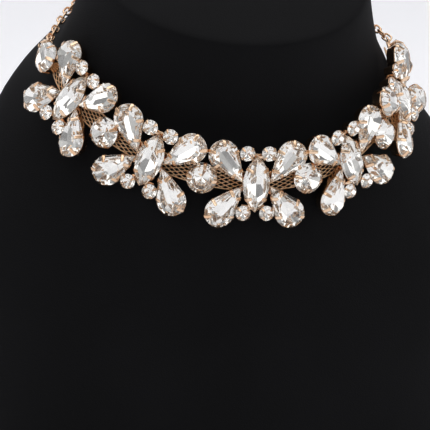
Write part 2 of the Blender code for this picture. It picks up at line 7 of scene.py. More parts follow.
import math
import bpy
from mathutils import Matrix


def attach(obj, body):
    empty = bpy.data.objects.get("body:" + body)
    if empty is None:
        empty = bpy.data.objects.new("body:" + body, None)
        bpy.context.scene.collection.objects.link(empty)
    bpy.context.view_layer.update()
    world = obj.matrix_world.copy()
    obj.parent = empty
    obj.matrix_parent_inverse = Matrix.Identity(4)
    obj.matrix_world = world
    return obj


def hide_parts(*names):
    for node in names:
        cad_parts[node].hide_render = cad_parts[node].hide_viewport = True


bl_info = {
    "name": "Crystal Bib Necklace",
    "version": (1, 0, 0),
    "blender": (4, 5, 0),
    "location": "3D View > Sidebar > Necklace",
    "description": "Cut crystals in claw cups on a woven rose gold ribbon, shown on a velvet neck bust",
    "category": "Object",
}

from collections import namedtuple

import bmesh
import bpy
from bpy.props import FloatProperty, FloatVectorProperty, IntProperty, PointerProperty, StringProperty
from bpy.types import Operator, Panel, PropertyGroup
from mathutils import Matrix, Vector
from mathutils.bvhtree import BVHTree

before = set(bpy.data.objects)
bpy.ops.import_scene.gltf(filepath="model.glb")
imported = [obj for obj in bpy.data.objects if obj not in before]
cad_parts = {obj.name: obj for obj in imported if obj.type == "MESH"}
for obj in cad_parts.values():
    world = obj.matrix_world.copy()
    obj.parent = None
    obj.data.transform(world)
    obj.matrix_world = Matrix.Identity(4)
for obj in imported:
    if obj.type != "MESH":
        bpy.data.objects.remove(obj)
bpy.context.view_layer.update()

MM = 0.001
BODY = "root"
CLUSTERS = ("far_left", "left", "center", "right", "far_right")
PEARS = ("upper_left", "upper_right", "lower_left", "lower_right")
ROUNDS = ("far_left", "left", "right", "far_right")
ENDS = ("left", "right")

# A stone's seat: its matrix from millimetres, with the girdle's middle as origin and x away from a pear's
# tip, and the stone's reach, width, crown and depth in millimetres.
Seat = namedtuple("Seat", "matrix reach width crown depth")
# A row of facets: how many go round the stone, where the first lies as a share of one step, how far they
# lean from flat in radians, and where their planes pass, in millimetres in from the girdle and above it.
Row = namedtuple("Row", "count start tilt inset level")
# How many facets go round a stone: crown mains, breaks along the girdle, and each of the two rows behind.
Cut = namedtuple("Cut", "mains breaks backs")

NOISE = "ShaderNodeTexNoise"
RAMP = "ShaderNodeValToRGB"
MAP_RANGE = "ShaderNodeMapRange"
BUMP = "ShaderNodeBump"


class StoneSizes(PropertyGroup):
    """How the crystals are cut."""

    girdle: FloatProperty(
        name="Girdle", description="Thickness of a stone's rim", default=0.4 * MM, unit="LENGTH"
    )
    main_tilt: FloatProperty(
        name="Crown angle",
        description="Lean of the crown's main facets",
        default=math.radians(51),
        subtype="ANGLE",
    )
    girdle_tilt: FloatProperty(
        name="Break angle",
        description="Lean of the facets along the girdle",
        default=math.radians(60),
        subtype="ANGLE",
    )
    star_tilt: FloatProperty(
        name="Star angle",
        description="Lean of the facets round the table",
        default=math.radians(34),
        subtype="ANGLE",
    )
    flank_radius: FloatProperty(
        name="Pear flank radius", description="Curve of a pear's long sides", default=50 * MM, unit="LENGTH"
    )
    small_radius: FloatProperty(
        name="Small stone radius",
        description="Girdle radius of the small round stones",
        default=3.0 * MM,
        unit="LENGTH",
    )
    glass: StringProperty(
        name="Glass colour", description="Tint of the crystal, as a hex colour", default="#FCFCF9"
    )
    foil: StringProperty(
        name="Foil colour", description="Silvering behind the stones, as a hex colour", default="#F5F4F3"
    )


class MetalSizes(PropertyGroup):
    """Cups, claws, chains and ribbon."""

    claw_width: FloatProperty(
        name="Claw width", description="Width of a claw's strip", default=1.4 * MM, unit="LENGTH"
    )
    claw_thickness: FloatProperty(
        name="Claw thickness", description="Thickness of a claw's strip", default=0.5 * MM, unit="LENGTH"
    )
    lip: FloatProperty(
        name="Lip",
        description="How far a cup's lip stays in under its stone's edge",
        default=0.06 * MM,
        unit="LENGTH",
    )
    cup_taper: FloatProperty(
        name="Cup taper",
        description="How much narrower a cup is at its foot",
        default=1.2 * MM,
        unit="LENGTH",
    )
    link_length: FloatProperty(
        name="Link length", description="Outer length of a link", default=5.6 * MM, unit="LENGTH"
    )
    link_width: FloatProperty(
        name="Link width", description="Outer width of a link", default=3.8 * MM, unit="LENGTH"
    )
    link_wire: FloatProperty(
        name="Link wire", description="Thickness of a link's wire", default=0.95 * MM, unit="LENGTH"
    )
    net_wire: FloatProperty(
        name="Net wire", description="Width of the ribbon's wire", default=0.32 * MM, unit="LENGTH"
    )
    mesh_width: FloatProperty(
        name="Opening width",
        description="Length of a diamond opening along the ribbon",
        default=3.6 * MM,
        unit="LENGTH",
    )
    net_rows: IntProperty(name="Net rows", description="Strands across the ribbon", default=10)
    gold: StringProperty(
        name="Plate colour", description="Rose gold plate, as a hex colour", default="#EACDB0"
    )
    copper: StringProperty(name="Wire colour", description="Woven wire, as a hex colour", default="#FFDDB4")


class BustSizes(PropertyGroup):
    """Velvet neck bust."""

    rim_radius: FloatProperty(
        name="Rim radius", description="Rounding of the top and foot", default=3 * MM, unit="LENGTH"
    )
    pile: FloatProperty(
        name="Pile spacing", description="Spacing of the velvet's tufts", default=0.5 * MM, unit="LENGTH"
    )
    velvet: StringProperty(
        name="Velvet colour", description="Colour of the pile, as a hex colour", default="#0A0A0C"
    )


class StudioSizes(PropertyGroup):
    """Camera, paper sweep and lights."""

    aim: FloatVectorProperty(
        name="Aim",
        description="Point at the middle of the picture",
        default=(-0.0170, -0.0407, 0.1023),
        unit="LENGTH",
    )
    azimuth: FloatProperty(
        name="Azimuth",
        description="Camera's turn round the bust",
        default=math.radians(-15.1),
        subtype="ANGLE",
    )
    elevation: FloatProperty(
        name="Elevation", description="Camera's height angle", default=math.radians(14.7), subtype="ANGLE"
    )
    distance: FloatProperty(name="Distance", description="Camera to aim", default=0.768, unit="LENGTH")
    lens: FloatProperty(name="Lens", description="Focal length in millimetres", default=159.8)
    paper_glow: FloatProperty(
        name="Paper glow", description="Light that comes through the paper", default=0.255
    )
    paper: StringProperty(
        name="Paper colour", description="Sweep behind the bust, as a hex colour", default="#EDEDF0"
    )


def from_hex(text):
    """Linear colour of an sRGB hex value."""
    parts = [int(text[i:i + 2], 16) / 255 for i in (1, 3, 5)]
    return (*(c / 12.92 if c <= 0.04045 else ((c + 0.055) / 1.055) ** 2.4 for c in parts), 1)


def darker(colour, shares):
    """The colour with its red, green and blue lowered to these shares."""
    return (*(part * share for part, share in zip(colour, shares)), 1)


def add_node(tree, kind, values=None, links=None, stops=(), **settings):
    """Adds a shader node with its settings, values and links, and the stops if it is a colour ramp."""
    node = tree.nodes.new(kind)
    for key, value in settings.items():
        setattr(node, key, value)
    for key, value in (values or {}).items():
        node.inputs[key].default_value = value
    for key, socket in (links or {}).items():
        tree.links.new(socket, node.inputs[key])
    if stops:
        for element, (position, colour) in zip(node.color_ramp.elements, stops):
            element.position = position
            element.color = colour
    return node


def new_material(name, values):
    """Material with a Principled shader; returns it with its tree, shader and object coordinates."""
    made = bpy.data.materials.new(name)
    made.use_nodes = True
    tree = made.node_tree
    shader = tree.nodes["Principled BSDF"]
    for key, value in values.items():
        shader.inputs[key].default_value = value
    place = add_node(tree, "ShaderNodeTexCoord").outputs["Object"]
    return made, tree, shader, place


def rose_gold_plate(sizes):
    """Polished rose gold plate on cast brass: a clear mirror, a little cloudy where it was handled.

    The cloudy spots are 6 mm across. The plate's grain is too fine to show, so it is drawn at 0.5 mm.
    """
    made, tree, shader, place = new_material("rose gold plate", {"Metallic": 1})
    cloud = add_node(tree, NOISE, {"Scale": 1 / (6 * MM), "Detail": 3}, {"Vector": place})
    gold = from_hex(sizes.gold)
    handled = darker(gold, (0.92, 0.8, 0.7))
    tone = add_node(tree, RAMP, links={"Fac": cloud.outputs["Fac"]}, stops=((0.35, handled), (0.6, gold)))
    tree.links.new(tone.outputs["Color"], shader.inputs["Base Color"])
    haze = add_node(tree, MAP_RANGE, {"To Min": 0.10, "To Max": 0.28}, {"Value": cloud.outputs["Fac"]})
    tree.links.new(haze.outputs["Result"], shader.inputs["Roughness"])
    grain = add_node(tree, NOISE, {"Scale": 1 / (0.5 * MM), "Detail": 2}, {"Vector": place})
    relief = add_node(
        tree, BUMP, {"Strength": 0.12, "Distance": 0.05 * MM}, {"Height": grain.outputs["Fac"]}
    )
    tree.links.new(relief.outputs["Normal"], shader.inputs["Normal"])
    return made


def woven_wire(sizes):
    """Drawn copper coloured wire under clear lacquer: satin along its length, with painted shade for the
    crossings.

    The streaks and the painted shade lie in random patches 1.5 mm across, close to the spacing of the
    crossings, which are under 2 mm apart.
    """
    made, tree, shader, place = new_material("woven copper wire", {"Metallic": 0.2, "Roughness": 0.3})
    streaks_and_painted_shade = add_node(tree, NOISE, {"Scale": 1 / (1.5 * MM), "Detail": 4}, {"Vector": place})
    wire = from_hex(sizes.copper)
    # Painted shade: where the noise is low the wire is darkened to this colour, standing in for the shade in
    # the crossings.
    painted_shade = darker(wire, (0.9, 0.68, 0.5))
    tone = add_node(tree, RAMP, links={"Fac": streaks_and_painted_shade.outputs["Fac"]}, stops=((0.3, painted_shade), (0.62, wire)))
    tree.links.new(tone.outputs["Color"], shader.inputs["Base Color"])
    relief = add_node(
        tree, BUMP, {"Strength": 0.2, "Distance": 0.05 * MM}, {"Height": streaks_and_painted_shade.outputs["Fac"]}
    )
    tree.links.new(relief.outputs["Normal"], shader.inputs["Normal"])
    return made


def cut_glass(sizes):
    """Machine cut lead crystal: clear, very smooth facets with a strong edge reflection.

    Wear dulls the polish a little in spots 4 mm across.
    """
    made, tree, shader, place = new_material(
        "cut crystal", {"IOR": 1.56, "Transmission Weight": 1, "Base Color": from_hex(sizes.glass)}
    )
    wear = add_node(tree, NOISE, {"Scale": 1 / (4 * MM), "Detail": 2}, {"Vector": place})
    polish = add_node(tree, MAP_RANGE, {"To Min": 0.0, "To Max": 0.03}, {"Value": wear.outputs["Fac"]})
    tree.links.new(polish.outputs["Result"], shader.inputs["Roughness"])
    return made


def silver_foil(sizes):
    """Vacuum silvering on the pavilion: a bright mirror, painted gold near the girdle as a painted
    reflection of the gold cup.

    Its haze varies in spots 5 mm across.
    """
    made, tree, shader, place = new_material("silvered back", {"Metallic": 1})
    depth = add_node(tree, "ShaderNodeAttribute", attribute_name="depth").outputs["Fac"]
    # Painted reflection: the foil is painted gold at the girdle, for the gold cup mirrored there, and turns
    # to the foil's colour by 16% of the way down.
    stops = ((0.0, from_hex("#DDC2A4")), (0.16, from_hex(sizes.foil)))
    tone = add_node(tree, RAMP, links={"Fac": depth}, stops=stops)
    tree.links.new(tone.outputs["Color"], shader.inputs["Base Color"])
    cloud = add_node(tree, NOISE, {"Scale": 1 / (5 * MM)}, {"Vector": place})
    haze = add_node(tree, MAP_RANGE, {"To Min": 0.02, "To Max": 0.08}, {"Value": cloud.outputs["Fac"]})
    tree.links.new(haze.outputs["Result"], shader.inputs["Roughness"])
    return made


def black_velvet(sizes):
    """Flocked velvet: black pile that drinks the light, with a faint bloom where it turns away.

    Painted sheen: soft patches 60 mm across keep the pile's colour, and it is darker between them. Its tufts
    are finer than they are drawn, so that they show.
    """
    made, tree, shader, place = new_material(
        "black velvet",
        {
            "Roughness": 0.95,
            "Sheen Weight": 0.12,
            "Sheen Roughness": 0.45,
            "Sheen Tint": from_hex("#4A4A50"),
            "Specular IOR Level": 0.15,
        },
    )
    # Painted sheen: this noise lightens the pile in soft patches, for the faint sheen on the bust.
    painted_sheen_patches = add_node(tree, NOISE, {"Scale": 1 / (60 * MM), "Detail": 3}, {"Vector": place})
    pile = from_hex(sizes.velvet)
    pile_away_from_painted_sheen = darker(pile, (0.6, 0.6, 0.6))
    stops = ((0.35, pile_away_from_painted_sheen), (0.65, pile))
    tone = add_node(tree, RAMP, links={"Fac": painted_sheen_patches.outputs["Fac"]}, stops=stops)
    tree.links.new(tone.outputs["Color"], shader.inputs["Base Color"])
    tufts = add_node(tree, NOISE, {"Scale": 1 / sizes.pile, "Detail": 2}, {"Vector": place})
    relief = add_node(tree, BUMP, {"Strength": 0.5, "Distance": 0.3 * MM}, {"Height": tufts.outputs["Fac"]})
    tree.links.new(relief.outputs["Normal"], shader.inputs["Normal"])
    return made


def paper(sizes):
    """Seamless studio paper: matt and even. Its tooth is finer than the 3 mm at which it is drawn."""
    made, tree, shader, place = new_material(
        "studio paper",
        {
            "Roughness": 0.9,
            "Base Color": from_hex(sizes.paper),
            "Emission Color": from_hex(sizes.paper),
            "Emission Strength": sizes.paper_glow,
        },
    )
    tooth = add_node(tree, NOISE, {"Scale": 1 / (3 * MM)}, {"Vector": place})
    relief = add_node(tree, BUMP, {"Strength": 0.05, "Distance": 0.1 * MM}, {"Height": tooth.outputs["Fac"]})
    tree.links.new(relief.outputs["Normal"], shader.inputs["Normal"])
    return made


# Materials already made, by their maker.
MADE = {}


def material(maker, sizes):
    """The maker's material, made once."""
    if maker not in MADE:
        MADE[maker] = maker(sizes)
    return MADE[maker]


def clear_selection():
    if bpy.context.mode != "OBJECT":
        bpy.ops.object.mode_set(mode="OBJECT")
    bpy.ops.object.select_all(action="DESELECT")


def choose(*items):
    """Selects these objects alone, the first of them active."""
    clear_selection()
    for item in items:
        item.select_set(True)
    bpy.context.view_layer.objects.active = items[0]


def edit_all(item):
    """Goes into edit mode with all of a piece selected."""
    choose(item)
    bpy.ops.object.mode_set(mode="EDIT")
    bpy.ops.mesh.select_mode(type="VERT")
    bpy.ops.mesh.select_all(action="SELECT")


def leave_edit():
    bpy.ops.object.mode_set(mode="OBJECT")


def apply_modifier(item, kind, **settings):
    """Adds a modifier with its settings and applies it."""
    choose(item)
    made = item.modifiers.new(kind.lower(), kind)
    for key, value in settings.items():
        setattr(made, key, value)
    bpy.ops.object.modifier_apply(modifier=made.name)


def subdivide(item, levels):
    apply_modifier(item, "SUBSURF", levels=levels, render_levels=levels)


def smooth(item, degrees):
    """Shades a piece smooth but for edges sharper than this."""
    choose(item)
    bpy.ops.object.shade_smooth_by_angle(angle=math.radians(degrees))


def copy_of(item, name, matrix):
    """Copy of a piece with its own mesh, set in place."""
    made = bpy.data.objects.new(name, item.data.copy())
    bpy.context.scene.collection.objects.link(made)
    made.data.transform(matrix)
    return made


def remove(*items):
    for item in items:
        bpy.data.objects.remove(item)


def joined(name, items):
    """One piece from several."""
    choose(*items)
    bpy.ops.object.join()
    made = bpy.context.view_layer.objects.active
    made.name = name
    return made


def finish_piece(item, finish, slot, *nodes):
    """Gives a piece its material if it has none, and sets it on the frame in the place of its solids."""
    if not item.data.materials:
        item.data.materials.append(finish)
    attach(item, BODY)
    if nodes:
        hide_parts(*nodes)


def ring_of(points):
    """Closed ring of edges through the points."""
    bpy.ops.mesh.primitive_circle_add(vertices=len(points), radius=1)
    ring = bpy.context.active_object
    for corner, point in zip(ring.data.vertices, points):
        corner.co = point
    return ring


def extrude_to(before, after):
    """Extrudes the selected ring and moves each new corner to its place in the next ring."""
    bpy.ops.mesh.extrude_edges_move()
    data = bpy.context.edit_object.data
    shape = bmesh.from_edit_mesh(data)
    for corner in [v for v in shape.verts if v.select]:
        nearest = min(range(len(before)), key=lambda i: (before[i] - corner.co).length_squared)
        corner.co = after[nearest]
    bmesh.update_edit_mesh(data)


def loft(name, rings, joins=False):
    """Skin through rings of one count, capped at its ends or, where it joins, led back to its first ring."""
    rings = [[Vector(point) for point in ring] for ring in rings]
    if joins:
        rings.append(rings[0])
    clear_selection()
    item = ring_of(rings[0])
    item.name = name
    edit_all(item)
    for before, after in zip(rings, rings[1:]):
        extrude_to(before, after)
    bpy.ops.mesh.select_all(action="SELECT")
    if joins:
        bpy.ops.mesh.remove_doubles(threshold=1e-4)
    else:
        bpy.ops.mesh.fill_holes(sides=0)
    bpy.ops.mesh.select_all(action="SELECT")
    bpy.ops.mesh.normals_make_consistent(inside=False)
    leave_edit()
    return item


def solid_corners(name):
    """A solid's corners, each once."""
    found = {}
    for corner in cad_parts[name].data.vertices:
        found[tuple(round(c, 6) for c in corner.co)] = corner.co.copy()
    return list(found.values())


# Two faces look the same way if the cosine between their normals is above this.
SAME_WAY = 0.9995


def seat_of(name, across=None):
    """Seat of a stone, read from its solid: its table is the largest flat, its culet the lowest corner."""
    faces = [(face.normal.copy(), face.area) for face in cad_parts[name].data.polygons]

    def flat_area(normal):
        return sum(area for other, area in faces if other.dot(normal) > SAME_WAY)

    out = max((normal for normal, _ in faces), key=flat_area)
    corners = solid_corners(name)
    culet = min(corners, key=lambda c: c.dot(out))
    levels = sorted({round((c - culet).dot(out) / MM, 1) for c in corners})
    middle = culet + out * levels[1] * MM
    girdle = [c - middle for c in corners if abs((c - middle).dot(out)) < 0.1 * MM]
    tip = max(girdle, key=lambda c: c.length)
    x = across or -tip.normalized()
    x = (x - out * x.dot(out)).normalized()
    y = out.cross(x)
    turned = Matrix((x, y, out)).transposed().to_4x4()
    matrix = Matrix.Translation(middle) @ turned @ Matrix.Scale(MM, 4)
    width = max(c.dot(y) for c in girdle) - min(c.dot(y) for c in girdle)
    return Seat(matrix, tip.length / MM, width / MM, levels[-1] - levels[1], levels[1])


def cluster_seat(place):
    """Seat of a cluster: that of its marquise, with y up its long axis and x along the necklace."""
    seat = seat_of(f"marquise_stone_{place}")
    along = seat.matrix.col[0].to_3d()
    out = seat.matrix.col[2].to_3d()
    up = along if along.z > 0 else -along
    return seat_of(f"marquise_stone_{place}", up.cross(out))


# Steps along the stretches of an outline.
HEAD_STEPS = 14
FLANK_STEPS = 7
MARQUISE_STEPS = 12
ROUND_STEPS = 24
SMALL_STEPS = 16

# A marquise is this much wider than its solid, and under 1 it is fuller towards its tips than two arcs.
MARQUISE_EXTRA = 0.5
MARQUISE_FULLNESS = 0.82


def arc(radius, start, end, steps, centre=(0, 0)):
    """Points along an arc from its start to its end."""
    turns = [start + (end - start) * i / steps for i in range(steps + 1)]
    return [(centre[0] + radius * math.cos(turn), centre[1] + radius * math.sin(turn)) for turn in turns]


def pear_half(reach, radius, flank):
    """Upper half of a pear from its head to its tip, about the middle of its head."""
    between = flank - radius
    turn = math.acos((reach**2 + between**2 - flank**2) / (2 * reach * between))
    centre = (between * math.cos(math.pi - turn), -between * math.sin(math.pi - turn))
    last = math.atan2(-centre[1], -reach - centre[0])
    return arc(radius, 0, turn, HEAD_STEPS) + arc(flank, turn, last, FLANK_STEPS, centre)[1:]


def marquise_half(reach, width):
    """Half of a marquise whose tips are on the y axis, from right to left over its upper tip."""
    radius = (reach**2 + (width / 2) ** 2) / width
    sweep = math.asin(reach / radius)
    levels = [radius * math.sin(sweep * i / MARQUISE_STEPS) for i in range(MARQUISE_STEPS + 1)]
    right = [(width / 2 * max(1 - (level / reach) ** 2, 0) ** MARQUISE_FULLNESS, level) for level in levels]
    return right + [(-x, y) for x, y in right[-2::-1]]


def whole(half):
    """Whole outline, counter-clockwise, from its upper half."""
    return [Vector(p) for p in half] + [Vector((x, -y)) for x, y in half[-2:0:-1]]


def round_outline(radius, steps):
    """Round stone's outline, with this many steps to its half."""
    return whole(arc(radius, 0, math.pi, steps))


def pear_outline(sizes, seat):
    """Pear's outline in its seat."""
    return whole(pear_half(seat.reach, seat.width / 2, sizes.flank_radius / MM))


def marquise_outline():
    """Marquise's outline in its seat."""
    width = seat_of("marquise_stone_center").width + MARQUISE_EXTRA
    return whole(marquise_half(cluster_seat("center").reach, width))


# How far a grown outline's corners go at most, as the least cosine of half their turn.
MITRE = 0.6


def grown(outline, distance):
    """Outline moved outwards by a distance."""
    made = []
    count = len(outline)
    for i, here in enumerate(outline):
        a = (here - outline[i - 1]).normalized()
        b = (outline[(i + 1) % count] - here).normalized()
        outward = (Vector((a.y, -a.x)) + Vector((b.y, -b.x))).normalized()
        made.append(here + outward * (distance / max(outward.dot(Vector((a.y, -a.x))), MITRE)))
    return made


def spot_on(outline, share):
    """Point at a share of the way round an outline, and the direction straight out from it there."""
    count = len(outline)
    lengths = [(outline[(i + 1) % count] - outline[i]).length for i in range(count)]
    left = (share % 1) * sum(lengths)
    i = 0
    while left > lengths[i]:
        left -= lengths[i]
        i = (i + 1) % count
    a, b = outline[i], outline[(i + 1) % count]
    edge = (b - a).normalized()
    return a + edge * left, Vector((edge.y, -edge.x))


# Cuts of the pears and marquises, of the round stones, and of the small stones.
FANCY_CUT = Cut(8, 10, 12)
ROUND_CUT = Cut(8, 12, 14)
SMALL_CUT = Cut(8, 16, 8)
# The star facets start a little inside the table's edge, and the breaks behind are steeper than the mains.
STAR_INSET = 1.02
BACK_BREAK = 1.16
# Facets at a pointed end: their turn from it, and how flat they lie as a share of the mains there.
TIP_FACETS = ((0, 0.72), (0.6, 0.86), (-0.6, 0.86))
TIP_BACK = 1.05
# A face that looks further down than this belongs to the silvered back.
SILVERED = -0.1


def facet(spot, level, outward, tilt, up):
    """Grinds a facet through a spot, leaning by the tilt, on the crown or with up -1 on the pavilion."""
    plane = (outward.x * math.sin(tilt), outward.y * math.sin(tilt), up * math.cos(tilt))
    bpy.ops.mesh.select_all(action="SELECT")
    bpy.ops.mesh.bisect(
        plane_co=(spot.x, spot.y, level), plane_no=plane, use_fill=True, clear_outer=True, threshold=1e-5
    )


def grind(outline, row, base, up):
    """Grinds a row of facets round a stone."""
    for i in range(row.count):
        spot, outward = spot_on(outline, (i + row.start) / row.count + 1e-6)
        facet(spot - outward * row.inset, base + up * row.level, outward, row.tilt, up)


def cut_stone(name, outline, tips, crown, depth, sizes, cut):
    """Cut stone: a blank of the outline's shape whose facets are ground row by row, then silvered below."""
    girdle = sizes.girdle / MM
    rise = crown - girdle
    clear_selection()
    item = ring_of([(p.x, p.y, -depth) for p in outline])
    edit_all(item)
    bpy.ops.mesh.edge_face_add()
    bpy.ops.mesh.extrude_region_move(TRANSFORM_OT_translate={"value": (0, 0, depth + crown)})
    bpy.ops.mesh.select_all(action="SELECT")
    bpy.ops.mesh.normals_make_consistent(inside=False)
    narrow = min(p.length for p in outline)
    table_inset = rise / math.tan(sizes.main_tilt)
    back_tilt = math.atan(depth / narrow)
    grind(outline, Row(cut.breaks, 0.5, sizes.girdle_tilt, 0, 0), girdle, 1)
    grind(outline, Row(cut.mains, 0, sizes.main_tilt, 0, 0), girdle, 1)
    grind(outline, Row(cut.mains, 0.5, sizes.star_tilt, table_inset * STAR_INSET, rise), girdle, 1)
    grind(outline, Row(cut.backs, 0.5, back_tilt * BACK_BREAK, 0, 0), 0, -1)
    grind(outline, Row(cut.backs, 0, back_tilt, 0, 0), 0, -1)
    for tip in tips:
        slope = narrow / tip.length
        for turn, share in TIP_FACETS:
            aside = Matrix.Rotation(turn, 2) @ tip.normalized()
            facet(tip, girdle, aside, math.atan(math.tan(sizes.main_tilt) * slope * share), 1)
            facet(tip, 0, aside, math.atan(math.tan(back_tilt) * slope * share * TIP_BACK), -1)
    leave_edit()
    item.name = name
    silver_back(item, depth, sizes)
    return item


def silver_back(item, depth, sizes):
    """Silvers the faces below the girdle, and stores how deep each corner lies for the foil's painted
    reflection of the gold cup.
    """
    data = item.data
    data.materials.append(material(cut_glass, sizes))
    data.materials.append(material(silver_foil, sizes))
    for face in data.polygons:
        face.material_index = 1 if face.normal.z < SILVERED else 0
    layer = data.attributes.new("depth", "FLOAT", "POINT")
    for corner, value in zip(data.vertices, layer.data):
        value.value = min(max(-corner.co.z / depth, 0), 1)


# How far the cups' feet lie under the girdle of the large stones.
FOOT = 4.2
# Bars under the cups.
BAR_WIDTH = 2
BAR_HEIGHT = 1.2
STEM_HEIGHT = 1.3
BAR_EDGE = 0.2
# Loops that the chains hang in.
LOOP_RADIUS = 1.9
LOOP_WIRE = 0.9
# Broken edge of a claw.
CLAW_EDGE = 0.09


def cup(name, outline, foot, sizes):
    """Sheet metal cup round a stone: foot below, wall that widens upwards, and a lip that holds the girdle.

    Its profile goes up the outside, over the lip and down the inside, as places out from the girdle and up.
    """
    lip, taper = sizes.lip / MM, sizes.cup_taper / MM
    profile = (
        (-taper, -foot), (-taper * 0.5, -foot * 0.5), (-lip - 0.16, -0.9), (-lip, -0.3),
        (-lip - 0.08, -0.14), (-lip - 0.34, -0.3), (-lip - 0.5, -0.9),
        (-taper * 0.5 - 0.45, -foot * 0.5), (-taper - 0.5, -foot),
    )
    rings = [[(p.x, p.y, level) for p in grown(outline, out)] for out, level in profile]
    return loft(name, rings, joins=True)


def claw(name, sizes):
    """Claw along x: it leaves the cup's wall, stands past the girdle and is bent down on the crown.

    Its path gives places out and up, how far the strip leans over there, and its width as a share.
    """
    wide, thick = sizes.claw_width / MM / 2, sizes.claw_thickness / MM / 2
    path = (
        (-0.65, -2.4, 0.20, 1.0), (-0.10, -1.1, 0.25, 1.0), (0.30, -0.1, 0.05, 1.0),
        (0.28, 0.75, -0.4, 1.0), (-0.25, 1.42, -0.85, 1.0), (-0.95, 2.05, -0.9, 1.0),
        (-1.75, 2.72, -0.95, 0.95), (-2.15, 2.98, -1.0, 0.6),
    )
    rings = []
    for x, z, lean, narrow in path:
        out = Vector((math.cos(lean), 0, -math.sin(lean)))
        here = Vector((x, 0, z))
        over = out * thick
        side = Vector((0, wide * narrow, 0))
        rings.append([here + over - side, here + over + side, here - over + side, here - over - side])
    item = loft(name, rings)
    edit_all(item)
    bpy.ops.mesh.bevel(offset=CLAW_EDGE, segments=1, affect="EDGES")
    leave_edit()
    subdivide(item, 1)
    smooth(item, 60)
    return item


def claws_on(outline, shares, model, scale=1):
    """Claws at shares of the way round an outline."""
    made = []
    for share in shares:
        spot, outward = spot_on(outline, share)
        turn = Matrix.Rotation(math.atan2(outward.y, outward.x), 4, "Z")
        size = Matrix.Scale(scale, 4)
        made.append(copy_of(model, "claw", Matrix.Translation((spot.x, spot.y, 0)) @ turn @ size))
    return made


def bar(start, end, height=BAR_HEIGHT):
    """Flat bar under the cups from one point to another, its edges broken."""
    clear_selection()
    bpy.ops.mesh.primitive_cube_add(size=1)
    item = bpy.context.active_object
    run = Vector(end) - Vector(start)
    item.data.transform(Matrix.Diagonal((run.length, BAR_WIDTH, height, 1)))
    item.data.transform(Matrix.Rotation(math.atan2(run.y, run.x), 4, "Z"))
    middle = (Vector(start) + Vector(end)) / 2
    item.data.transform(Matrix.Translation((middle.x, middle.y, -FOOT + height / 2)))
    apply_modifier(item, "BEVEL", width=BAR_EDGE, segments=2, limit_method="NONE")
    return item


def wire_ring(name, half_length, half_width, wire, points=20, sides=8):
    """Round wire bent to an oval ring in the xy plane."""
    clear_selection()
    radius = half_width - wire / 2
    bpy.ops.mesh.primitive_torus_add(
        major_segments=points, minor_segments=sides, major_radius=radius, minor_radius=wire / 2
    )
    item = bpy.context.active_object
    item.name = name
    edit_all(item)
    bpy.ops.mesh.select_all(action="DESELECT")
    data = bpy.context.edit_object.data
    for way in (-1, 1):
        shape = bmesh.from_edit_mesh(data)
        for corner in shape.verts:
            corner.select_set(corner.co.x * way > 1e-4)
        shape.select_flush_mode()
        bmesh.update_edit_mesh(data)
        bpy.ops.transform.translate(value=(way * (half_length - half_width), 0, 0))
        bpy.ops.mesh.select_all(action="DESELECT")
    leave_edit()
    smooth(item, 80)
    return item


def chain_loop(place):
    """Loop that a chain hangs in."""
    loop = wire_ring("loop", LOOP_RADIUS, LOOP_RADIUS, LOOP_WIRE, points=24, sides=10)
    loop.data.transform(Matrix.Translation(place))
    return loop


class NECKLACE_OT_bust(Operator):
    """Cover the neck bust in velvet, with its rim and foot rounded."""

    bl_idname = "necklace.bust"
    bl_label = "Velvet Bust"

    def execute(self, context):
        sizes = context.scene.bust_sizes
        item = copy_of(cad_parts["neck_bust"], "velvet_bust", Matrix.Identity(4))
        item.data.materials.clear()
        edit_all(item)
        bpy.ops.mesh.remove_doubles(threshold=1e-6)
        bpy.ops.mesh.dissolve_limited(angle_limit=math.radians(0.5))
        bpy.ops.mesh.select_all(action="SELECT")
        bpy.ops.mesh.tris_convert_to_quads(face_threshold=math.radians(60), shape_threshold=math.radians(60))
        bpy.ops.mesh.select_all(action="DESELECT")
        bpy.ops.mesh.select_mode(type="EDGE")
        bpy.ops.mesh.edges_select_sharp(sharpness=math.radians(45))
        bpy.ops.mesh.bevel(offset=sizes.rim_radius, segments=2, affect="EDGES")
        leave_edit()
        subdivide(item, 2)
        smooth(item, 50)
        finish_piece(item, material(black_velvet, sizes), "black_velvet", "neck_bust")
        return {"FINISHED"}


class NECKLACE_OT_stones(Operator):
    """Cut the pears, marquises and round stones and set each into its seat."""

    bl_idname = "necklace.stones"
    bl_label = "Cut Stones"

    def execute(self, context):
        sizes = context.scene.stone_sizes
        nodes = [f"pear_stone_{place}_{spot}" for place in CLUSTERS for spot in PEARS]
        nodes += [f"end_stone_{place}" for place in ENDS]
        seats = {node: seat_of(node) for node in nodes}
        first = seats[nodes[0]]
        self.set_stones(seats, first, pear_outline(sizes, first), [Vector((-first.reach, 0))], FANCY_CUT)
        seats = {f"marquise_stone_{place}": cluster_seat(place) for place in CLUSTERS}
        first = seats["marquise_stone_center"]
        tips = [Vector((0, first.reach)), Vector((0, -first.reach))]
        self.set_stones(seats, first, marquise_outline(), tips, FANCY_CUT)
        seats = {f"round_stone_{place}": seat_of(f"round_stone_{place}") for place in ROUNDS}
        first = seats["round_stone_left"]
        self.set_stones(seats, first, round_outline(first.reach, ROUND_STEPS), [], ROUND_CUT)
        return {"FINISHED"}

    def set_stones(self, seats, first, outline, tips, cut):
        """Cuts one stone for the first seat and sets a copy of it into each seat, in its solid's place."""
        sizes = bpy.context.scene.stone_sizes
        model = cut_stone("model", outline, tips, first.crown, first.depth, sizes, cut)
        for node, seat in seats.items():
            finish_piece(copy_of(model, f"crystal_{node}", seat.matrix), None, "crystal", node)
        remove(model)


# Small stones, in millimetres: how far past the marquise's ends they sit, upper and lower, the gap to the
# pear beside them, their seats' radius, how far their girdles lie above the large ones', and their crown and
# depth.
SMALL_RISES = (1.1, 0.3)
SMALL_GAP = 0.55
SMALL_SEAT_RADIUS = 3.0
SMALL_LIFT = 0.5
SMALL_CROWN = 1.9
SMALL_DEPTH = 1.9


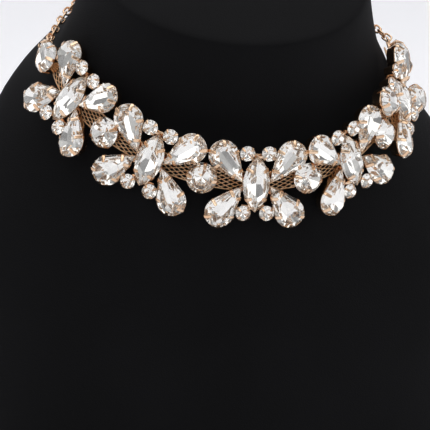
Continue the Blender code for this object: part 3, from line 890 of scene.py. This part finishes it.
def small_spots(place):
    """Middles of a cluster's four small stones in its own frame."""
    seat = cluster_seat(place)
    back = seat.matrix.inverted()
    made = []
    for spot, rise, past in (("upper_right", 1, SMALL_RISES[0]), ("lower_right", -1, SMALL_RISES[1])):
        pear = seat_of(f"pear_stone_{place}_{spot}")
        head = back @ pear.matrix.translation
        across = head.x - pear.width / 2 - SMALL_SEAT_RADIUS - SMALL_GAP
        for way in (-1, 1):
            made.append(Vector((way * across, rise * (seat.reach + past), SMALL_LIFT)))
    return made


class NECKLACE_OT_small_stones(Operator):
    """Cut the small round stones and set four round each marquise."""

    bl_idname = "necklace.small_stones"
    bl_label = "Small Stones"

    def execute(self, context):
        sizes = context.scene.stone_sizes
        outline = round_outline(sizes.small_radius / MM, SMALL_STEPS)
        small = cut_stone("small", outline, [], SMALL_CROWN, SMALL_DEPTH, sizes, SMALL_CUT)
        for place in CLUSTERS:
            seat = cluster_seat(place)
            stones = []
            for spot in small_spots(place):
                stones.append(copy_of(small, "small", seat.matrix @ Matrix.Translation(spot)))
            finish_piece(joined(f"small_crystals_{place}", stones), None, "crystal")
        remove(small)
        return {"FINISHED"}


# Claws, as shares of the way round each outline from its right side, or from a pear's head.
PEAR_CLAWS = (0.075, 0.235, 0.40, 0.60, 0.765, 0.925)
EVEN_CLAWS = (0.125, 0.375, 0.625, 0.875)
SMALL_CLAW_SCALE = 0.6
# A spoke starts at this share of its pear's tip's distance from the marquise's axis, and ends at this share
# of the way from the pear's head to its tip. A tie lies at this share of its small stones' height.
SPOKE_START = 0.5
SPOKE_END = 0.5
TIE_LEVEL = 0.86
# Middle of an end stone's loop, past the stone's tip and above the cup's foot.
LOOP_OUT = 1.25
LOOP_UP = 1.28


def claw_cup(name, outline, shares, model, sizes, lift=0, scale=1):
    """Cup with its claws, its foot lower by the stone's lift."""
    return joined(name, [cup("cup", outline, FOOT + lift, sizes), *claws_on(outline, shares, model, scale)])


class NECKLACE_OT_cluster_settings(Operator):
    """Make the clusters' cups, claws and the bars that they are soldered to."""

    bl_idname = "necklace.cluster_settings"
    bl_label = "Cluster Settings"

    def execute(self, context):
        stones, sizes = context.scene.stone_sizes, context.scene.metal_sizes
        finish = material(rose_gold_plate, sizes)
        model = claw("claw_model", sizes)
        pear_line = pear_outline(stones, seat_of("pear_stone_center_upper_left"))
        pear_cup = claw_cup("pear_cup", pear_line, PEAR_CLAWS, model, sizes)
        middle = claw_cup("marquise_cup", marquise_outline(), EVEN_CLAWS, model, sizes)
        small_line = round_outline(stones.small_radius / MM, SMALL_STEPS)
        small_cup = claw_cup(
            "small_cup", small_line, EVEN_CLAWS, model, sizes, SMALL_LIFT, SMALL_CLAW_SCALE
        )
        for place in CLUSTERS:
            seat = cluster_seat(place)
            parts = [copy_of(middle, "part", seat.matrix)]
            for spot in PEARS:
                pear = seat_of(f"pear_stone_{place}_{spot}")
                parts.append(copy_of(pear_cup, "part", pear.matrix))
                parts.append(self.spoke(seat, pear))
            spots = small_spots(place)
            for spot in spots:
                parts.append(copy_of(small_cup, "part", seat.matrix @ Matrix.Translation(spot)))
            for spot in spots[1::2]:
                tie = bar((-spot.x, spot.y * TIE_LEVEL), (spot.x, spot.y * TIE_LEVEL))
                tie.data.transform(seat.matrix)
                parts.append(tie)
            piece = joined(f"claw_cups_{place}", parts)
            smooth(piece, 50)
            finish_piece(piece, finish, "rose_gold", f"cluster_setting_{place}")
        remove(middle, small_cup, pear_cup, model)
        return {"FINISHED"}

    def spoke(self, seat, pear):
        """Bar that joins a pear's cup to the marquise's, under both."""
        back = seat.matrix.inverted() @ pear.matrix
        tip = back @ Vector((-pear.reach, 0, 0))
        inner = back @ Vector((-pear.reach * SPOKE_END, 0, 0))
        made = bar((tip.x * SPOKE_START, tip.y), inner.xy)
        made.data.transform(seat.matrix)
        return made


class NECKLACE_OT_single_settings(Operator):
    """Make the cups of the round stones and of the end stones with their chain loops."""

    bl_idname = "necklace.single_settings"
    bl_label = "Single Settings"

    def execute(self, context):
        stones, sizes = context.scene.stone_sizes, context.scene.metal_sizes
        finish = material(rose_gold_plate, sizes)
        model = claw("claw_model", sizes)
        first = seat_of("round_stone_left")
        round_cup = claw_cup(
            "round_cup", round_outline(first.reach, ROUND_STEPS), EVEN_CLAWS, model, sizes
        )
        for place in ROUNDS:
            piece = copy_of(round_cup, f"claw_cup_round_{place}", seat_of(f"round_stone_{place}").matrix)
            smooth(piece, 50)
            finish_piece(piece, finish, "rose_gold", f"round_setting_{place}")
        for place in ENDS:
            seat = seat_of(f"end_stone_{place}")
            end_cup = claw_cup("end_cup", pear_outline(stones, seat), PEAR_CLAWS, model, sizes)
            loop = chain_loop((-seat.reach - LOOP_OUT, 0, -FOOT + LOOP_UP))
            stem = bar((-seat.reach, 0), (-seat.reach * SPOKE_END, 0), STEM_HEIGHT)
            piece = joined(f"claw_cup_end_{place}", [end_cup, loop, stem])
            piece.data.transform(seat.matrix)
            smooth(piece, 50)
            finish_piece(piece, finish, "rose_gold", f"end_setting_{place}")
        remove(round_cup, model)
        return {"FINISHED"}


def around(point):
    """Turn of a point round the upright axis, 0 at the front and growing towards +X."""
    return math.atan2(point.x, -point.y)


def ribbon_frames():
    """Middle, up and outward direction of each section of the ribbon's solid, from -X by the front to +X."""
    corners = sorted(solid_corners("mesh_ribbon"), key=around)
    made = []
    for i in range(0, len(corners) - 3, 4):
        ring = sorted(corners[i:i + 4], key=lambda c: c.z)
        lower = sorted(ring[:2], key=lambda c: c.xy.length)
        upper = sorted(ring[2:], key=lambda c: c.xy.length)
        middle = (ring[0] + ring[1] + ring[2] + ring[3]) / 4
        up = ((upper[0] + upper[1]) - (lower[0] + lower[1])) / 2
        out = ((upper[1] + lower[1]) - (upper[0] + lower[0])) / 2
        made.append((middle, up, out))
    return made


def between(values, place):
    """Smooth value at a place counted along a list."""
    last = len(values) - 1
    i = min(max(int(place), 0), last - 1)
    f = place - i
    a, b = values[i], values[i + 1]
    before = values[i - 1] if i else a * 2 - b
    after = values[i + 2] if i + 2 <= last else b * 2 - a
    curve = a * 2 + (b - before) * f + (before * 2 - a * 5 + b * 4 - after) * f**2
    return (curve + (a * 3 - before - b * 3 + after) * f**3) / 2


# The strands of the net wave between their neighbours. A wave has this many steps. The other numbers are
# shares of half a wire's width: how far neighbours lap, how far a strand weaves in and out, how thick it is,
# and how wide the edge wires are. An edge wire is twice as thick as it is wide.
WAVE_STEPS = 4
LAP = 0.1
WEAVE = 0.6
FLATNESS = 0.7
EDGE_SHARE = 1.2
EDGE_SIDES = 6


class NECKLACE_OT_ribbon(Operator):
    """Weave the ribbon as a net of wires between two edge wires."""

    bl_idname = "necklace.ribbon"
    bl_label = "Woven Ribbon"

    def execute(self, context):
        sizes = context.scene.metal_sizes
        middles, ups, outs = zip(*ribbon_frames())
        length = sum((b - a).length for a, b in zip(middles, middles[1:]))
        height = sum(up.length for up in ups) / len(ups)
        thickness = sum(out.length for out in outs) / len(outs)
        columns = round(length / sizes.mesh_width)
        half_wire = sizes.net_wire / 2
        cell = (height - 2 * half_wire) / sizes.net_rows
        strand = self.wave(sizes.mesh_width, cell / 2 + half_wire * LAP, half_wire, columns)
        lift = (thickness / 2 - 2 * half_wire) / MM
        strands = []
        for row in range(sizes.net_rows):
            level = (-height / 2 + half_wire + cell * (row + 0.5)) / MM
            flip = -1 if row % 2 else 1
            turn = Matrix.Translation((0, level, lift)) @ Matrix.Diagonal((1, flip, 1, 1))
            strands.append(copy_of(strand, "strand", turn))
        remove(strand)
        edge = half_wire * EDGE_SHARE / MM
        for way in (-1, 1):
            strands.append(self.edge_wire(way * (height / 2 / MM - edge), edge, sizes.mesh_width, columns))
        net = joined("woven_ribbon", strands)
        run = columns * sizes.mesh_width / MM
        for corner in net.data.vertices:
            x, y, z = corner.co
            place = min(max(x / run, 0), 1) * (len(middles) - 1)
            up = between(ups, place).normalized()
            out = between(outs, place).normalized()
            corner.co = between(middles, place) + (up * y + out * z) * MM
        edit_all(net)
        bpy.ops.mesh.normals_make_consistent(inside=False)
        leave_edit()
        smooth(net, 120)
        finish_piece(net, material(woven_wire, sizes), "woven_rose_gold", "mesh_ribbon")
        return {"FINISHED"}

    def wave(self, step, swing, half_wire, count):
        """Strand of flattened wire along the ribbon: one wave, open at its ends, repeated in a row."""
        rings = []
        for i in range(WAVE_STEPS + 1):
            x = step * i / WAVE_STEPS
            y = swing * math.cos(2 * math.pi * i / WAVE_STEPS)
            z = half_wire * WEAVE * math.sin(2 * math.pi * (i + 0.5) / WAVE_STEPS)
            rings.append([
                (x / MM, (y + half_wire * across) / MM, (z + half_wire * FLATNESS * through) / MM)
                for across, through in ((1, 1), (-1, 1), (-1, -1), (1, -1))
            ])
        item = loft("strand", rings)
        edit_all(item)
        bpy.ops.mesh.select_all(action="DESELECT")
        shape = bmesh.from_edit_mesh(item.data)
        for face in shape.faces:
            face.select_set(abs(face.normal.x) > 0.9)
        bmesh.update_edit_mesh(item.data)
        bpy.ops.mesh.delete(type="ONLY_FACE")
        leave_edit()
        apply_modifier(
            item, "ARRAY", count=count, use_relative_offset=False, use_constant_offset=True,
            constant_offset_displace=(step / MM, 0, 0), use_merge_vertices=True, merge_threshold=1e-4,
        )
        return item

    def edge_wire(self, level, wide, step, count):
        """Wire along one edge of the net."""
        turns = [2 * math.pi * k / EDGE_SIDES for k in range(EDGE_SIDES)]
        rings = []
        for i in range(count + 1):
            x = step * i / MM
            rings.append([(x, level + wide * math.cos(a), 2 * wide * math.sin(a)) for a in turns])
        return loft("edge", rings)


# A chain's line is averaged over this share of its solid's corners, and over no fewer than this many.
LINE_WINDOWS = 24
LEAST_WINDOW = 8


def chain_line(name, pitch):
    """Points along a chain's solid from its front end to the nape, no further apart than a link."""
    corners = sorted(solid_corners(name), key=lambda c: abs(around(c)))
    window = max(len(corners) // LINE_WINDOWS, LEAST_WINDOW)
    line = [sum(corners[:3], Vector()) / 3]
    for i in range(window // 2, len(corners) - window, window // 4):
        line.append(sum(corners[i:i + window], Vector()) / window)
    line.append(sum(corners[-3:], Vector()) / 3)
    lengths = [0.0]
    for a, b in zip(line, line[1:]):
        lengths.append(lengths[-1] + (b - a).length)
    count = round(lengths[-1] / pitch)
    made = []
    for i in range(count + 1):
        reached = lengths[-1] * i / count
        k = max(j for j in range(len(line) - 1) if lengths[j] <= reached or j == 0)
        share = (reached - lengths[k]) / max(lengths[k + 1] - lengths[k], 1e-9)
        made.append(line[k].lerp(line[k + 1], share))
    return made


class NECKLACE_OT_chains(Operator):
    """Make the cable chains of oval links, turned by quarters, along their solids."""

    bl_idname = "necklace.chains"
    bl_label = "Cable Chains"

    def execute(self, context):
        sizes = context.scene.metal_sizes
        link = wire_ring("link", sizes.link_length / MM / 2, sizes.link_width / MM / 2, sizes.link_wire / MM)
        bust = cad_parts["neck_bust"].data
        skin = BVHTree.FromPolygons(
            [corner.co for corner in bust.vertices], [face.vertices for face in bust.polygons]
        )
        for place in ENDS:
            points = chain_line(f"chain_{place}", sizes.link_length - 2 * sizes.link_wire)
            links = []
            for i, (a, b) in enumerate(zip(points, points[1:])):
                middle = (a + b) / 2
                along = (b - a).normalized()
                out = middle - skin.find_nearest(middle)[0]
                out = (out - along * out.dot(along)).normalized()
                turned = Matrix((along, out.cross(along), out)).transposed().to_4x4()
                roll = Matrix.Rotation(math.pi / 2 if i % 2 == 0 else 0, 4, "X")
                matrix = Matrix.Translation(middle) @ turned @ roll @ Matrix.Scale(MM, 4)
                links.append(copy_of(link, "link", matrix))
            chain = joined(f"cable_chain_{place}", links)
            finish_piece(chain, material(rose_gold_plate, sizes), "rose_gold", f"chain_{place}")
        remove(link)
        return {"FINISHED"}


# Barrel of the clasp: its ends and its grips' outer edges, as shares of half the clasp, and its sides. Its
# profile goes from end to end over two grips with a groove between them, as places and shares of its radius.
BARREL_END = 0.62
BARREL_GRIP = 0.27
BARREL_SIDES = 20


class NECKLACE_OT_clasp(Operator):
    """Turn the barrel clasp at the nape and solder a loop to each end."""

    bl_idname = "necklace.clasp"
    bl_label = "Barrel Clasp"

    def execute(self, context):
        sizes = context.scene.metal_sizes
        corners = solid_corners("clasp")
        middle = sum(corners, Vector()) / len(corners)
        far = max(corners, key=lambda c: (c - middle).length)
        near = min(corners, key=lambda c: (c - middle).dot(far - middle))
        along = (far - near).normalized()
        along = Vector((along.x, along.y, 0)).normalized() if abs(along.z) < 0.2 else along
        half = (far - near).length / 2 / MM
        out = Vector((0, 1, 0)) - along * along.y
        turned = Matrix((along, out.cross(along).normalized(), out.normalized())).transposed().to_4x4()
        low, high = half * BARREL_GRIP, half * BARREL_END
        radius = max(abs((c - middle).dot(out.normalized())) for c in corners) / MM
        profile = (
            (-high, 0.45), (-high * 0.93, 0.62), (-low, 0.95), (-low * 0.8, 1.0), (-low * 0.2, 1.0),
            (-low * 0.15, 0.86), (low * 0.15, 0.86), (low * 0.2, 1.0), (low * 0.8, 1.0), (low, 0.95),
            (high * 0.93, 0.62), (high, 0.45),
        )
        turns = [2 * math.pi * k / BARREL_SIDES for k in range(BARREL_SIDES)]
        rings = []
        for x, share in profile:
            rings.append([(x, radius * share * math.cos(a), radius * share * math.sin(a)) for a in turns])
        loops = [chain_loop((way * (half - LOOP_RADIUS), 0, 0)) for way in (-1, 1)]
        piece = joined("barrel_clasp", [loft("barrel", rings), *loops])
        piece.data.transform(Matrix.Translation(middle) @ turned @ Matrix.Scale(MM, 4))
        smooth(piece, 35)
        finish_piece(piece, material(rose_gold_plate, sizes), "rose_gold", "clasp")
        return {"FINISHED"}


# Softboxes: name, place, size across and high in metres, and power in watts.
SOFTBOXES = (
    ("key_light", (-0.95, -1.15, 1.15), (1.3, 1.3), 6),
    ("fill_light", (1.15, -0.95, 0.75), (1.0, 1.2), 3.5),
    ("top_light", (0.0, 0.10, 1.7), (2.0, 1.4), 12.5),
)
# Room round the set: its darker and brighter patches, how many there are, and its strength.
ROOM_PATCHES = ((0.38, "#7E7E80"), (0.62, "#EDEDEE"))
ROOM_SCALE = 2.2
ROOM_STRENGTH = 0.76
# Paper sweep in metres: across and deep on the floor, how high it runs up, and the radius of its curve.
PAPER_FLOOR = (6, 4.4)
PAPER_RISE = 2.4
PAPER_CURVE = 0.8
SENSOR_WIDTH = 36
# Bounces that light needs to leave a silvered stone again.
LIGHT_BOUNCES = 24
STONE_BOUNCES = 16


class NECKLACE_OT_studio(Operator):
    """Set the camera, the paper sweep and the softboxes."""

    bl_idname = "necklace.studio"
    bl_label = "Studio"

    def execute(self, context):
        sizes = context.scene.studio_sizes
        aim = Vector(sizes.aim)
        rise, turn = sizes.elevation, sizes.azimuth
        back = Vector((math.sin(turn) * math.cos(rise), -math.cos(turn) * math.cos(rise), math.sin(rise)))
        clear_selection()
        place = aim + back * sizes.distance
        bpy.ops.object.camera_add(location=place, rotation=(math.pi / 2 - rise, 0, turn))
        camera = context.active_object
        camera.name = "camera"
        camera.data.lens = sizes.lens
        camera.data.sensor_width = SENSOR_WIDTH
        context.scene.camera = camera
        self.lay_paper(sizes)
        for name, place, (across, high), power in SOFTBOXES:
            bpy.ops.object.light_add(type="AREA", location=place)
            light = context.active_object
            light.name = name
            light.data.shape = "RECTANGLE"
            light.data.size = across
            light.data.size_y = high
            light.data.energy = power
            light.rotation_mode = "QUATERNION"
            light.rotation_quaternion = (aim - Vector(place)).to_track_quat("-Z", "Y")
        context.scene.world = self.light_room()
        context.scene.view_settings.view_transform = "Standard"
        context.scene.cycles.max_bounces = LIGHT_BOUNCES
        context.scene.cycles.glossy_bounces = STONE_BOUNCES
        context.scene.cycles.transmission_bounces = STONE_BOUNCES
        return {"FINISHED"}

    def light_room(self):
        """Room round the set, out of focus: brighter and darker patches for the facets to mirror."""
        world = bpy.data.worlds.new("studio")
        world.use_nodes = True
        tree = world.node_tree
        way = add_node(tree, "ShaderNodeTexCoord").outputs["Generated"]
        patches = add_node(tree, NOISE, {"Scale": ROOM_SCALE, "Detail": 1}, {"Vector": way})
        stops = [(place, from_hex(colour)) for place, colour in ROOM_PATCHES]
        tone = add_node(tree, RAMP, links={"Fac": patches.outputs["Fac"]}, stops=stops)
        room = tree.nodes["Background"]
        tree.links.new(tone.outputs["Color"], room.inputs["Color"])
        room.inputs["Strength"].default_value = ROOM_STRENGTH
        return world

    def lay_paper(self, sizes):
        """Floor that runs up into a backdrop in one curve."""
        clear_selection()
        bpy.ops.mesh.primitive_plane_add(size=1)
        item = bpy.context.active_object
        item.name = "paper_sweep"
        item.data.transform(Matrix.Diagonal((*PAPER_FLOOR, 1, 1)))
        edit_all(item)
        bpy.ops.mesh.select_all(action="DESELECT")
        shape = bmesh.from_edit_mesh(item.data)
        for edge in shape.edges:
            edge.select_set(all(v.co.y > 0 for v in edge.verts))
        bmesh.update_edit_mesh(item.data)
        bpy.ops.mesh.extrude_region_move(TRANSFORM_OT_translate={"value": (0, 0, PAPER_RISE)})
        leave_edit()
        apply_modifier(item, "BEVEL", width=PAPER_CURVE, segments=12, limit_method="ANGLE")
        smooth(item, 60)
        item.data.materials.append(material(paper, sizes))


class NECKLACE_PT_panel(Panel):
    """Sidebar panel with the pieces in the order in which they are made."""

    bl_label = "Bib Necklace"
    bl_idname = "NECKLACE_PT_panel"
    bl_space_type = "VIEW_3D"
    bl_region_type = "UI"
    bl_category = "Necklace"

    def draw(self, context):
        layout = self.layout
        for name in GROUPS:
            sizes = getattr(context.scene, name)
            box = layout.box()
            for key in sizes.bl_rna.properties.keys():
                if key not in ("rna_type", "name"):
                    box.prop(sizes, key)
        for operator in OPERATORS:
            layout.operator(operator.bl_idname)


OPERATORS = (
    NECKLACE_OT_studio,
    NECKLACE_OT_bust,
    NECKLACE_OT_ribbon,
    NECKLACE_OT_cluster_settings,
    NECKLACE_OT_single_settings,
    NECKLACE_OT_stones,
    NECKLACE_OT_small_stones,
    NECKLACE_OT_chains,
    NECKLACE_OT_clasp,
)
GROUPS = {
    "stone_sizes": StoneSizes,
    "metal_sizes": MetalSizes,
    "bust_sizes": BustSizes,
    "studio_sizes": StudioSizes,
}


def register():
    for name, group in GROUPS.items():
        bpy.utils.register_class(group)
        setattr(bpy.types.Scene, name, PointerProperty(type=group))
    for operator in OPERATORS:
        bpy.utils.register_class(operator)
    bpy.utils.register_class(NECKLACE_PT_panel)


def unregister():
    bpy.utils.unregister_class(NECKLACE_PT_panel)
    for operator in reversed(OPERATORS):
        bpy.utils.unregister_class(operator)
    for name, group in GROUPS.items():
        delattr(bpy.types.Scene, name)
        bpy.utils.unregister_class(group)


def main():
    register()
    for operator in OPERATORS:
        group, name = operator.bl_idname.split(".")
        getattr(getattr(bpy.ops, group), name)()


if __name__ == "__main__":
    main()
